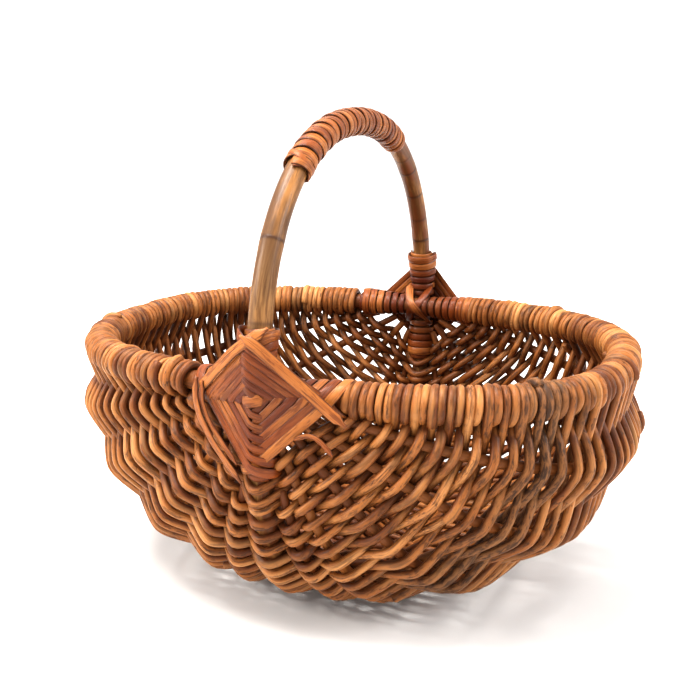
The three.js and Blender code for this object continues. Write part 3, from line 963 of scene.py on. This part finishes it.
class BASKET_OT_hoops(bpy.types.Operator):
    """Bends the rim rod, and the cane that is both handle and keel"""

    bl_idname = "basket.hoops"
    bl_label = "Rim and handle"

    def execute(self, context):
        rim = Piece()
        half = GUIDE_POINTS // 2
        back = RIMS[1].points[::-1]
        loop = np.concatenate([back[half:], RIMS[0].points[1:], back[1:half + HOOP_OVERLAP]])
        add_rod(rim, even(loop, 3 * MM), RIM_ROD, (0.3, 0, 0), 14)
        rim.make("rim_rod", material("frame_rod_bark"), "frame_rods", "rim_hoop")

        cane = Piece()
        loop = np.concatenate([KEEL.points[half:0:-1], ARCH.points, KEEL.points[-2:half - 3:-1]])
        path = even(loop, 0.8 * MM)
        run = np.arange(len(path)) * np.linalg.norm(path[1] - path[0]) - KEEL.length / 2
        share = run / ARCH.length
        ring = np.zeros(len(path))
        for place, depth in NODE_RINGS:
            ring += depth * np.exp(-(((share - place) * ARCH.length / RING_WIDTH) ** 2))
        # The keel is darker than the handle.
        ring += 0.25 * np.clip(np.maximum(-share, share - 1) / 0.02, 0, 1)
        knuckle = np.zeros(len(path))
        for place in KNUCKLES:
            knuckle += np.exp(-(((share - place) * ARCH.length / KNUCKLE_WIDTH) ** 2))
        swell = 0.012 * np.sin(share * 23) + 0.035 * knuckle - 0.02 * np.clip(ring, 0, 1)
        radius = HANDLE_ROD * (0.985 + swell)
        # The far leg is a little thinner.
        radius *= 1 - 0.06 * np.clip((share - 0.6) / 0.3, 0, 1) * (share < 1.02)
        # The far leg and the keel are redder than the near leg, which is palest near its foot.
        red = np.clip((share - 0.45) / 0.25, 0, 1) + 1.5 * np.clip(-share / 0.02, 0, 1)
        pale = np.exp(-(((share - 0.12) / 0.06) ** 2))
        add_rod(cane, path, radius, np.stack([np.clip(ring, 0, 1), red, pale], -1), 24)
        cane.make("handle_cane", material("cane_grain"), "handle_cane", "handle_hoop")
        return {"FINISHED"}


class BASKET_OT_ribs(bpy.types.Operator):
    """Bends the ribs between the two lashings"""

    bl_idname = "basket.ribs"
    bl_label = "Ribs"

    def execute(self, context):
        random = np.random.default_rng(3)
        for side, guides in RIBS.items():
            for number, guide in enumerate(guides):
                rib = Piece()
                start = RIB_STARTS[number] - 4 * MM
                path = guide.at(np.linspace(start, guide.length - start, 160))
                share = np.linspace(0, math.pi, 160)
                radius = RIB_ROD * (0.72 + 0.30 * np.sin(share) ** 0.5)
                add_rod(rib, path, radius, (random.random(), 0, 0), 12)
                name = f"{side}_rib_{number + 1}"
                rib.make(f"{name}_rod", material("frame_rod_bark"), "frame_rods", name)
        return {"FINISHED"}


class BASKET_OT_weave(bpy.types.Operator):
    """Weaves the rods over and under the ribs and round the rim"""

    bl_idname = "basket.weave"
    bl_label = "Woven rods"

    def execute(self, context):
        sizes = context.scene.basket_weave
        bands = [Piece() for _ in BANDS]
        for path, radius, tone, outside, row in Weaving(sizes).rods():
            band = bands[min(len(BANDS) - 1, int(row / sizes.rows * len(BANDS)))]
            add_rod(band, path, radius, tone, 8, outside)
        for band, node in zip(bands, BANDS):
            band.make(f"{node}_rods", material("woven_rod_bark"), "woven_rods", node)
        return {"FINISHED"}


class BASKET_OT_lashings(bpy.types.Operator):
    """Ties the handle to the rim with split peel at both crossings"""

    bl_idname = "basket.lashings"
    bl_label = "Lashings"

    def execute(self, context):
        sizes = context.scene.basket_peel
        random = np.random.default_rng(11)
        thick = sizes.thickness
        for name in ("near", "far"):
            crossing = Crossing(name)
            lashing = Piece()
            add_lashing(lashing, crossing, sizes, random)
            add_ribbon(lashing, crossing, CENTRE_PATCH, 7.5 * MM, (0.9, 0.3), thick)
            for proud, flip in ((0, 1), (1.2, -1)):
                stops = np.array(INNER_STRAND) * (flip, 1, 1) - (0, proud, 0)
                add_ribbon(lashing, crossing, stops, 7 * MM, (random.random(), 0.4), thick, True)
            if crossing.near:
                for stops, width, tone in LOOSE_STRANDS:
                    add_ribbon(lashing, crossing, stops, width * MM, tone, thick)
            make_peel(lashing, f"{name}_lashing")
            for side, rim in zip(("left", "right"), RIMS):
                binding = Piece()
                for number in range(RIM_WRAP_COUNT):
                    span, rise = RIM_SPAN + RIM_WRAP_PITCH * number, RIM_WRAP_RISE * number
                    tone = (random.random(), random.uniform(0.3, 0.9))
                    add_wrap(binding, crossing, rim, RIM_ROD, span, rise, tone, thick, **RIM_WRAP)
                make_peel(binding, f"{name}_{side}_rim_binding")
            keel = Piece()
            for number in range(KEEL_WRAP_COUNTS[name]):
                span, rise = KEEL_SPANS[name] + KEEL_WRAP_PITCH * number, KEEL_WRAP_RISE * number
                tone = (random.random(), random.uniform(0.2, 0.5))
                add_wrap(keel, crossing, KEEL, HANDLE_ROD, span, rise, tone, thick, **KEEL_WRAPS[name])
            make_peel(keel, f"{name}_keel_binding")
            collar = Piece()
            place = (COLLAR_SPANS[name], COLLAR_LIFT, COLLAR_TONE, thick)
            add_wrap(collar, crossing, ARCH, HANDLE_ROD, *place, **COLLAR_WRAPS[name])
            make_peel(collar, f"{name}_handle_collar")
        return {"FINISHED"}


class BASKET_OT_grip(bpy.types.Operator):
    """Winds split peel round the top of the handle"""

    bl_idname = "basket.grip"
    bl_label = "Grip"

    def execute(self, context):
        sizes = context.scene.basket_peel
        random = np.random.default_rng(5)
        low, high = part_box("handle_grip")
        y, z = ARCH.points[:, 1], ARCH.points[:, 2]
        start, stop = ARCH.run[(y > low[1]) & (y < high[1]) & (z > low[2])][[0, -1]]
        grip = Piece()
        share = np.linspace(0, 1, 26 * sizes.turns)
        along = start + (stop - start) * ((1 + GRIP_SPREAD) * share - GRIP_SPREAD * share**2)
        pitch = (stop - start) / sizes.turns * (1 + GRIP_SPREAD - 2 * GRIP_SPREAD * share)
        angle = 2 * math.pi * sizes.turns * share
        wander = random.normal(0, 1, sizes.turns + 1)
        wander = GRIP_WANDER * np.interp(share * sizes.turns, np.arange(sizes.turns + 1), wander)
        radius = HANDLE_ROD + 1.0 * MM + 0.25 * MM * np.sin(3.1 * angle / 2)
        path, away = wound(ARCH, along + wander, angle, radius)
        tilt = unit(away + GRIP_LEAN * ARCH.direction(along))
        turn = (share * sizes.turns).astype(int)
        shade = 0.45 + 0.55 * random.uniform(0, 1, sizes.turns + 1)[turn]
        red = 0.18 * random.uniform(0, 1, sizes.turns + 1)[turn]
        add_strip(grip, path, tilt, pitch * GRIP_OVERLAP, 1.5 * MM, np.stack([shade, red], -1))
        for begin, turns in ((0.2, 0.45), (2.2, -0.45)):
            part = np.linspace(0, 1, 24)
            along = start + (-4 + 11 * part) * MM
            angle = begin + 2 * math.pi * turns * part
            path, away = wound(ARCH, along, angle, HANDLE_ROD + (1 + part) * MM)
            add_strip(grip, path, away, 5 * MM * (0.7 + 0.3 * part), 1.1 * MM, (0.7, 0.2))
        make_peel(grip, "handle_grip")
        return {"FINISHED"}


# Half the floor's width in metres.
FLOOR_REACH = 30
# The middle of the basket, that the lights face.
LIT_MIDDLE = (0, 0, 0.12)
# Each soft light: its place, its width in metres, its power in watts and its tint.
SOFTBOXES = {
    "top_softbox": ((-0.35, -0.25, 1.5), 0.8, 36, (1, 0.985, 0.96)),
    "left_softbox": ((-1.3, -0.9, 0.9), 0.5, 19, (1, 0.98, 0.95)),
    "right_softbox": ((1.35, 0.1, 0.8), 0.45, 13, (1, 1, 1)),
}
# The camera looks at the middle of the rim: its turn and rise in degrees, its distance in
# metres, its lens in millimetres and its shifts.
CAMERA_TURN, CAMERA_RISE = 22.725, 14.072
CAMERA_DISTANCE = 0.63177
CAMERA_LENS = 46.81
CAMERA_SHIFTS = (-0.00975, -0.0136)


def add_softbox(name, place, size, power, tint):
    """A soft light that faces the basket."""
    light = bpy.data.lights.new(name, "AREA")
    light.shape, light.size, light.energy, light.color = "DISK", size, power, tint
    lamp = bpy.data.objects.new(name, light)
    lamp.location = place
    lamp.rotation_euler = (Vector(LIT_MIDDLE) - Vector(place)).to_track_quat("-Z", "Y").to_euler()
    bpy.context.scene.collection.objects.link(lamp)


class BASKET_OT_stage(bpy.types.Operator):
    """Sets up the floor, the lights and the camera"""

    bl_idname = "basket.stage"
    bl_label = "Stage"

    def execute(self, context):
        scene = context.scene
        mesh = bpy.data.meshes.new("floor")
        corners = [(-1, -1), (1, -1), (1, 1), (-1, 1)]
        mesh.from_pydata([(FLOOR_REACH * x, FLOOR_REACH * y, 0) for x, y in corners], [], [range(4)])
        mesh.materials.append(material("pale_floor"))
        floor = bpy.data.objects.new("floor", mesh)
        scene.collection.objects.link(floor)

        world = bpy.data.worlds.new("studio")
        world.use_nodes = True
        world.node_tree.nodes["Background"].inputs[0].default_value = (1, 1, 1, 1)
        world.node_tree.nodes["Background"].inputs[1].default_value = 1.0
        scene.world = world
        for name, values in SOFTBOXES.items():
            add_softbox(name, *values)

        sky = bpy.data.lights.new("even_light", "SUN")
        sky.energy, sky.angle = 0.7, math.radians(120)
        scene.collection.objects.link(bpy.data.objects.new("even_light", sky))

        turn, rise = math.radians(CAMERA_TURN), math.radians(CAMERA_RISE)
        level = math.cos(rise)
        offset = Vector((math.sin(turn) * level, -math.cos(turn) * level, math.sin(rise)))
        camera = bpy.data.cameras.new("camera")
        camera.sensor_width, camera.lens = 36, CAMERA_LENS
        camera.shift_x, camera.shift_y = CAMERA_SHIFTS
        camera.clip_start = 0.01
        holder = bpy.data.objects.new("camera", camera)
        holder.location = Vector((0, 0, RIM_Z)) + offset * CAMERA_DISTANCE
        holder.rotation_euler = (-offset).to_track_quat("-Z", "Y").to_euler()
        scene.collection.objects.link(holder)
        scene.camera = holder
        scene.view_settings.view_transform = "Standard"
        scene.view_settings.gamma = 0.86
        scene.view_settings.exposure = 0.32
        return {"FINISHED"}


OPERATORS = (
    BASKET_OT_stage, BASKET_OT_hoops, BASKET_OT_ribs, BASKET_OT_weave, BASKET_OT_lashings, BASKET_OT_grip
)


class BASKET_PT_panel(bpy.types.Panel):
    """The basket's sizes, colours and steps"""

    bl_idname = "BASKET_PT_panel"
    bl_label = "Frame basket"
    bl_space_type = "VIEW_3D"
    bl_region_type = "UI"
    bl_category = "Basket"

    def draw(self, context):
        scene = context.scene
        for group in (scene.basket_weave, scene.basket_peel, scene.basket_colours):
            box = self.layout.box()
            for name in group.__annotations__:
                box.prop(group, name)
        for operator in OPERATORS:
            self.layout.operator(operator.bl_idname)


CLASSES = (BasketWeave, BasketPeel, BasketColours, *OPERATORS, BASKET_PT_panel)


def register():
    """Adds the classes, and their settings on the scene."""
    for cls in CLASSES:
        bpy.utils.register_class(cls)
    bpy.types.Scene.basket_weave = bpy.props.PointerProperty(type=BasketWeave)
    bpy.types.Scene.basket_peel = bpy.props.PointerProperty(type=BasketPeel)
    bpy.types.Scene.basket_colours = bpy.props.PointerProperty(type=BasketColours)


def unregister():
    """Takes the settings and the classes away again."""
    del bpy.types.Scene.basket_weave, bpy.types.Scene.basket_peel, bpy.types.Scene.basket_colours
    for cls in reversed(CLASSES):
        bpy.utils.unregister_class(cls)


def main():
    """Makes the whole basket."""
    register()
    bpy.ops.basket.stage()
    bpy.ops.basket.hoops()
    bpy.ops.basket.ribs()
    bpy.ops.basket.weave()
    bpy.ops.basket.lashings()
    bpy.ops.basket.grip()
    bpy.context.view_layer.update()


if __name__ == "__main__":
    main()
